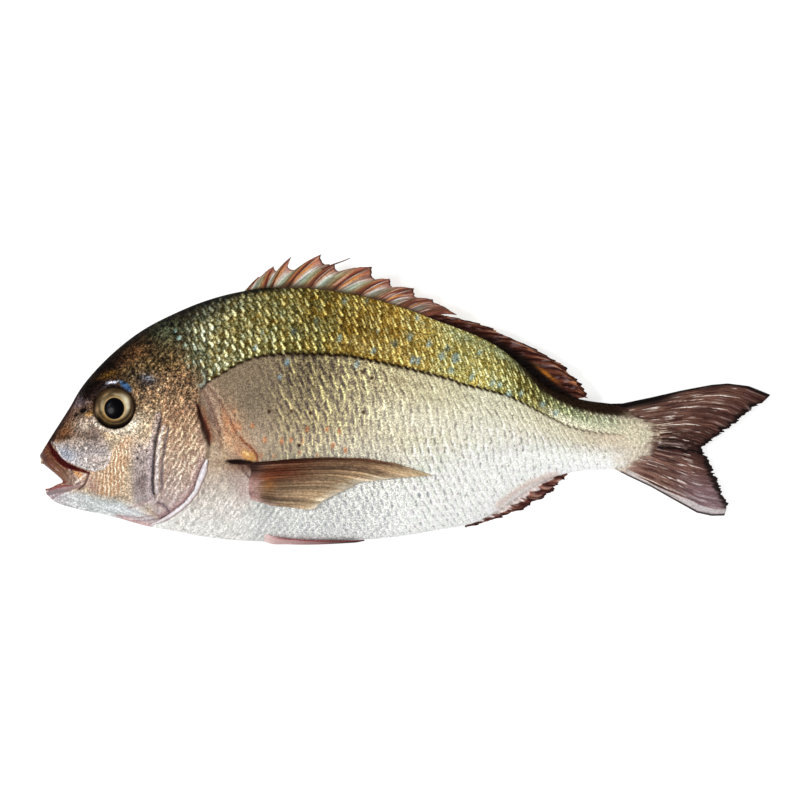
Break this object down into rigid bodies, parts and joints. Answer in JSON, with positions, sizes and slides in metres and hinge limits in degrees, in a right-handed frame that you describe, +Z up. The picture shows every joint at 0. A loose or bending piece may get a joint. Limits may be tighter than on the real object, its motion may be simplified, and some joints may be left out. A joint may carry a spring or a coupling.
{
  "type": "whole raw fish",
  "caption": "Whole raw sea bream with mouth ajar, dorsal spines half raised and forked tail, lying on its side.",
  "frame": {"origin": "centre of the outline in plan, on the surface that the fish lies on", "axes": "+X from the snout to the tail, +Y from the belly to the back, +Z up, away from the surface, out of the left flank"},
  "size_m": [0.4201, 0.1663, 0.0514],
  "materials": {
    "skin": "wet scaly skin, olive gold back, silver white belly",
    "fin": "wet dark red-brown fin membrane",
    "mouth": "wet dark red flesh of the lips and mouth",
    "eye": "clear wet eye with a black pupil and a pale iris"
  },
  "bodies": {
    "root": {"fish": "skin", "eye_left": "eye", "eye_right": "eye"}
  },
  "joints": []
}
